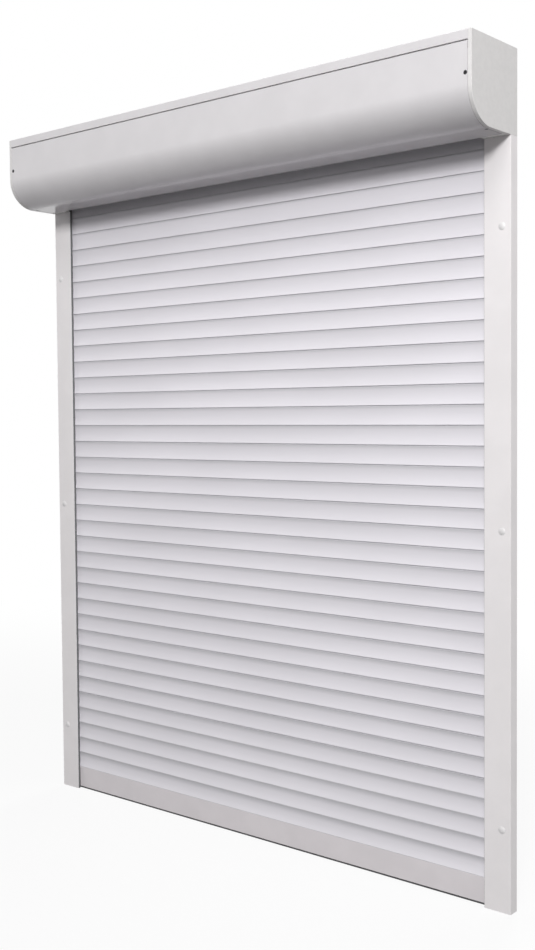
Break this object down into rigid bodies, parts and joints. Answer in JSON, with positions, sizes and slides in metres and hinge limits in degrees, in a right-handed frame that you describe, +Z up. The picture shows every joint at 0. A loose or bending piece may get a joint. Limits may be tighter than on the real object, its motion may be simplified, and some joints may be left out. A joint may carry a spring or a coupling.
{
  "type": "roller shutter",
  "caption": "White roller shutter: curtain of interlocking slats in two side rails under a quarter-round box that hides the winding barrel and its motor.",
  "frame": {"origin": "middle of the rails' feet along the width, half way through the depth of the box, on the sill", "axes": "+X along the width to the viewer's right, +Y towards the wall, +Z up"},
  "size_m": [1.213, 0.15, 1.506],
  "materials": {
    "cover_finish": "white coated aluminium sheet, satin",
    "plate_finish": "white coated die-cast aluminium, fine texture",
    "rail_finish": "white coated aluminium extrusion, satin",
    "slat_finish": "white coated aluminium strip filled with foam, satin",
    "bar_finish": "white coated aluminium extrusion, satin",
    "seal_rubber": "black rubber",
    "brush_seal": "grey pile",
    "white_plastic": "white moulded plastic",
    "grey_plastic": "grey moulded plastic",
    "zinc_steel": "galvanised steel",
    "screw_steel": "coated steel with a dark socket",
    "spring_steel": "blued spring steel",
    "bearing_steel": "polished bearing steel",
    "motor_finish": "pale grey coated steel tube"
  },
  "bodies": {
    "housing": {"box_casing": "cover_finish", "inspection_cover": "cover_finish", "end_plate_left": "plate_finish", "end_plate_right": "plate_finish", "guide_rail_left": "rail_finish", "guide_rail_right": "rail_finish", "rail_seals": "brush_seal", "rail_plugs": "white_plastic", "cover_screws": "screw_steel", "inlet_guides": "grey_plastic", "tubular_motor": "motor_finish", "motor_bracket": "zinc_steel", "ball_bearing": "bearing_steel", "bearing_bracket": "zinc_steel"},
    "barrel": {"barrel_tube": "zinc_steel", "motor_crown": "grey_plastic", "drive_wheel": "grey_plastic", "end_capsule": "grey_plastic", "hanger_straps": "spring_steel"},
    "bar": {"bottom_bar": "bar_finish", "bottom_seal": "seal_rubber", "bar_end_caps": "white_plastic", "slat_01": "slat_finish", "slat_02": "slat_finish", "slat_03": "slat_finish", "slat_04": "slat_finish", "slat_05": "slat_finish"},
    "slat_06": {"slat_06": "slat_finish"},
    "slat_07": {"slat_07": "slat_finish"},
    "slat_08": {"slat_08": "slat_finish"},
    "slat_09": {"slat_09": "slat_finish"},
    "slat_10": {"slat_10": "slat_finish"},
    "slat_11": {"slat_11": "slat_finish"},
    "slat_12": {"slat_12": "slat_finish"},
    "slat_13": {"slat_13": "slat_finish"},
    "slat_14": {"slat_14": "slat_finish"},
    "slat_15": {"slat_15": "slat_finish"},
    "slat_16": {"slat_16": "slat_finish"},
    "slat_17": {"slat_17": "slat_finish"},
    "slat_18": {"slat_18": "slat_finish"},
    "slat_19": {"slat_19": "slat_finish"},
    "slat_20": {"slat_20": "slat_finish"},
    "slat_21": {"slat_21": "slat_finish"},
    "slat_22": {"slat_22": "slat_finish"},
    "slat_23": {"slat_23": "slat_finish"},
    "slat_24": {"slat_24": "slat_finish"},
    "slat_25": {"slat_25": "slat_finish"},
    "slat_26": {"slat_26": "slat_finish"},
    "slat_27": {"slat_27": "slat_finish"},
    "slat_28": {"slat_28": "slat_finish"},
    "slat_29": {"slat_29": "slat_finish"},
    "slat_30": {"slat_30": "slat_finish"},
    "slat_31": {"slat_31": "slat_finish"},
    "slat_32": {"slat_32": "slat_finish"},
    "slat_33": {"slat_33": "slat_finish"},
    "slat_34": {"slat_34": "slat_finish"},
    "slat_35": {"slat_35": "slat_finish"},
    "slat_36": {"slat_36": "slat_finish"},
    "slat_37": {"slat_37": "slat_finish"}
  },
  "joints": [
    {"name": "curtain_lift", "type": "slide", "parent": "housing", "child": "bar", "axis": [0, 0, 1], "range_m": [0, 0.05]},
    {"name": "barrel_turn", "type": "hinge", "parent": "housing", "child": "barrel", "pos_m": [0, 0, 1.431], "axis": [1, 0, 0], "range_deg": [0, 64.8], "deforming": ["hanger_straps"]},
    {"name": "slots_close", "type": "slide", "parent": "bar", "child": "slat_37", "axis": [0, 0, 1], "range_m": [-0.0384, 0]},
    {"name": "slat_06_close", "type": "slide", "parent": "bar", "child": "slat_06", "axis": [0, 0, 1], "range_m": [-0.0012, 0]},
    {"name": "slat_07_close", "type": "slide", "parent": "bar", "child": "slat_07", "axis": [0, 0, 1], "range_m": [-0.0024, 0]},
    {"name": "slat_08_close", "type": "slide", "parent": "bar", "child": "slat_08", "axis": [0, 0, 1], "range_m": [-0.0036, 0]},
    {"name": "slat_09_close", "type": "slide", "parent": "bar", "child": "slat_09", "axis": [0, 0, 1], "range_m": [-0.0048, 0]},
    {"name": "slat_10_close", "type": "slide", "parent": "bar", "child": "slat_10", "axis": [0, 0, 1], "range_m": [-0.006, 0]},
    {"name": "slat_11_close", "type": "slide", "parent": "bar", "child": "slat_11", "axis": [0, 0, 1], "range_m": [-0.0072, 0]},
    {"name": "slat_12_close", "type": "slide", "parent": "bar", "child": "slat_12", "axis": [0, 0, 1], "range_m": [-0.0084, 0]},
    {"name": "slat_13_close", "type": "slide", "parent": "bar", "child": "slat_13", "axis": [0, 0, 1], "range_m": [-0.0096, 0]},
    {"name": "slat_14_close", "type": "slide", "parent": "bar", "child": "slat_14", "axis": [0, 0, 1], "range_m": [-0.0108, 0]},
    {"name": "slat_15_close", "type": "slide", "parent": "bar", "child": "slat_15", "axis": [0, 0, 1], "range_m": [-0.012, 0]},
    {"name": "slat_16_close", "type": "slide", "parent": "bar", "child": "slat_16", "axis": [0, 0, 1], "range_m": [-0.0132, 0]},
    {"name": "slat_17_close", "type": "slide", "parent": "bar", "child": "slat_17", "axis": [0, 0, 1], "range_m": [-0.0144, 0]},
    {"name": "slat_18_close", "type": "slide", "parent": "bar", "child": "slat_18", "axis": [0, 0, 1], "range_m": [-0.0156, 0]},
    {"name": "slat_19_close", "type": "slide", "parent": "bar", "child": "slat_19", "axis": [0, 0, 1], "range_m": [-0.0168, 0]},
    {"name": "slat_20_close", "type": "slide", "parent": "bar", "child": "slat_20", "axis": [0, 0, 1], "range_m": [-0.018, 0]},
    {"name": "slat_21_close", "type": "slide", "parent": "bar", "child": "slat_21", "axis": [0, 0, 1], "range_m": [-0.0192, 0]},
    {"name": "slat_22_close", "type": "slide", "parent": "bar", "child": "slat_22", "axis": [0, 0, 1], "range_m": [-0.0204, 0]},
    {"name": "slat_23_close", "type": "slide", "parent": "bar", "child": "slat_23", "axis": [0, 0, 1], "range_m": [-0.0216, 0]},
    {"name": "slat_24_close", "type": "slide", "parent": "bar", "child": "slat_24", "axis": [0, 0, 1], "range_m": [-0.0228, 0]},
    {"name": "slat_25_close", "type": "slide", "parent": "bar", "child": "slat_25", "axis": [0, 0, 1], "range_m": [-0.024, 0]},
    {"name": "slat_26_close", "type": "slide", "parent": "bar", "child": "slat_26", "axis": [0, 0, 1], "range_m": [-0.0252, 0]},
    {"name": "slat_27_close", "type": "slide", "parent": "bar", "child": "slat_27", "axis": [0, 0, 1], "range_m": [-0.0264, 0]},
    {"name": "slat_28_close", "type": "slide", "parent": "bar", "child": "slat_28", "axis": [0, 0, 1], "range_m": [-0.0276, 0]},
    {"name": "slat_29_close", "type": "slide", "parent": "bar", "child": "slat_29", "axis": [0, 0, 1], "range_m": [-0.0288, 0]},
    {"name": "slat_30_close", "type": "slide", "parent": "bar", "child": "slat_30", "axis": [0, 0, 1], "range_m": [-0.03, 0]},
    {"name": "slat_31_close", "type": "slide", "parent": "bar", "child": "slat_31", "axis": [0, 0, 1], "range_m": [-0.0312, 0]},
    {"name": "slat_32_close", "type": "slide", "parent": "bar", "child": "slat_32", "axis": [0, 0, 1], "range_m": [-0.0324, 0]},
    {"name": "slat_33_close", "type": "slide", "parent": "bar", "child": "slat_33", "axis": [0, 0, 1], "range_m": [-0.0336, 0]},
    {"name": "slat_34_close", "type": "slide", "parent": "bar", "child": "slat_34", "axis": [0, 0, 1], "range_m": [-0.0348, 0]},
    {"name": "slat_35_close", "type": "slide", "parent": "bar", "child": "slat_35", "axis": [0, 0, 1], "range_m": [-0.036, 0]},
    {"name": "slat_36_close", "type": "slide", "parent": "bar", "child": "slat_36", "axis": [0, 0, 1], "range_m": [-0.0372, 0]}
  ],
  "couplings": [
    {"joint": "barrel_turn", "follows": "curtain_lift", "rad_per_m": 22.619},
    {"joint": "slat_06_close", "follows": "slots_close", "ratio": 0.03125},
    {"joint": "slat_07_close", "follows": "slots_close", "ratio": 0.0625},
    {"joint": "slat_08_close", "follows": "slots_close", "ratio": 0.09375},
    {"joint": "slat_09_close", "follows": "slots_close", "ratio": 0.125},
    {"joint": "slat_10_close", "follows": "slots_close", "ratio": 0.15625},
    {"joint": "slat_11_close", "follows": "slots_close", "ratio": 0.1875},
    {"joint": "slat_12_close", "follows": "slots_close", "ratio": 0.21875},
    {"joint": "slat_13_close", "follows": "slots_close", "ratio": 0.25},
    {"joint": "slat_14_close", "follows": "slots_close", "ratio": 0.28125},
    {"joint": "slat_15_close", "follows": "slots_close", "ratio": 0.3125},
    {"joint": "slat_16_close", "follows": "slots_close", "ratio": 0.34375},
    {"joint": "slat_17_close", "follows": "slots_close", "ratio": 0.375},
    {"joint": "slat_18_close", "follows": "slots_close", "ratio": 0.40625},
    {"joint": "slat_19_close", "follows": "slots_close", "ratio": 0.4375},
    {"joint": "slat_20_close", "follows": "slots_close", "ratio": 0.46875},
    {"joint": "slat_21_close", "follows": "slots_close", "ratio": 0.5},
    {"joint": "slat_22_close", "follows": "slots_close", "ratio": 0.53125},
    {"joint": "slat_23_close", "follows": "slots_close", "ratio": 0.5625},
    {"joint": "slat_24_close", "follows": "slots_close", "ratio": 0.59375},
    {"joint": "slat_25_close", "follows": "slots_close", "ratio": 0.625},
    {"joint": "slat_26_close", "follows": "slots_close", "ratio": 0.65625},
    {"joint": "slat_27_close", "follows": "slots_close", "ratio": 0.6875},
    {"joint": "slat_28_close", "follows": "slots_close", "ratio": 0.71875},
    {"joint": "slat_29_close", "follows": "slots_close", "ratio": 0.75},
    {"joint": "slat_30_close", "follows": "slots_close", "ratio": 0.78125},
    {"joint": "slat_31_close", "follows": "slots_close", "ratio": 0.8125},
    {"joint": "slat_32_close", "follows": "slots_close", "ratio": 0.84375},
    {"joint": "slat_33_close", "follows": "slots_close", "ratio": 0.875},
    {"joint": "slat_34_close", "follows": "slots_close", "ratio": 0.90625},
    {"joint": "slat_35_close", "follows": "slots_close", "ratio": 0.9375},
    {"joint": "slat_36_close", "follows": "slots_close", "ratio": 0.96875}
  ]
}
